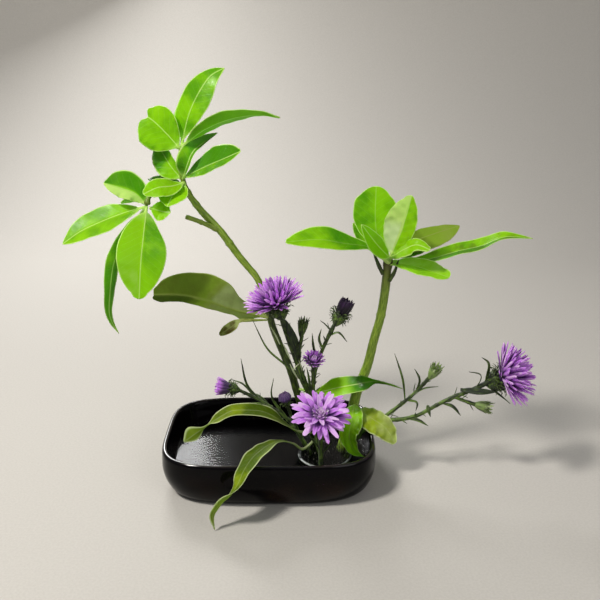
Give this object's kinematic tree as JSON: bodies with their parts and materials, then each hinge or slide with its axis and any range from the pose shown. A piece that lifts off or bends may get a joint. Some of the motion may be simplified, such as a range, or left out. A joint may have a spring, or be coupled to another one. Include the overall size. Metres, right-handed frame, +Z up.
{
  "type": "ikebana arrangement",
  "caption": "Ikebana arrangement: two leafy green branches and purple asters on a kenzan in a low black glazed dish of water.",
  "frame": {"origin": "centre of the dish's flat underside, on the table", "axes": "+X to the picture's right, along the dish's length, +Y away from the camera, +Z up; the front faces -Y"},
  "size_m": [0.417, 0.1698, 0.3643],
  "materials": {
    "glaze": "gloss",
    "water": "gloss",
    "lead": "satin",
    "branch": "satin",
    "leaf": "satin",
    "olive_leaf": "satin",
    "dull_leaf": "matte",
    "aster_green": "matte",
    "ray": "matte",
    "dark_ray": "matte"
  },
  "bodies": {
    "root": {"dish": "glaze", "water": "water", "kenzan": "lead", "branch_left": "branch", "branch_right": "branch", "leaf_left_01": "leaf", "leaf_left_02": "leaf", "leaf_left_03": "leaf", "leaf_left_04": "leaf", "leaf_left_05": "leaf", "leaf_left_06": "leaf", "leaf_left_07": "leaf", "leaf_left_08": "leaf", "leaf_left_09": "leaf", "leaf_left_10": "leaf", "leaf_left_11": "leaf", "leaf_left_12": "leaf", "leaf_left_13": "leaf", "leaf_left_14": "leaf", "leaf_left_15": "leaf", "leaf_right_01": "leaf", "leaf_right_02": "leaf", "leaf_right_03": "leaf", "leaf_right_04": "leaf", "leaf_right_05": "leaf", "leaf_right_06": "dull_leaf", "leaf_right_07": "leaf", "leaf_right_08": "leaf", "leaf_right_09": "leaf", "leaf_right_10": "leaf", "leaf_low_01": "dull_leaf", "leaf_low_02": "dull_leaf", "leaf_low_03": "olive_leaf", "leaf_low_04": "olive_leaf", "leaf_low_05": "leaf", "leaf_low_06": "leaf", "leaf_low_07": "olive_leaf", "aster_back": "aster_green", "aster_left": "aster_green", "aster_front": "aster_green", "aster_right": "aster_green", "bloom_back": "ray", "bloom_front": "ray", "bloom_right": "ray", "bud_dark": "dark_ray", "bud_half": "ray", "bud_left": "ray", "bud_low": "ray"}
  },
  "joints": []
}
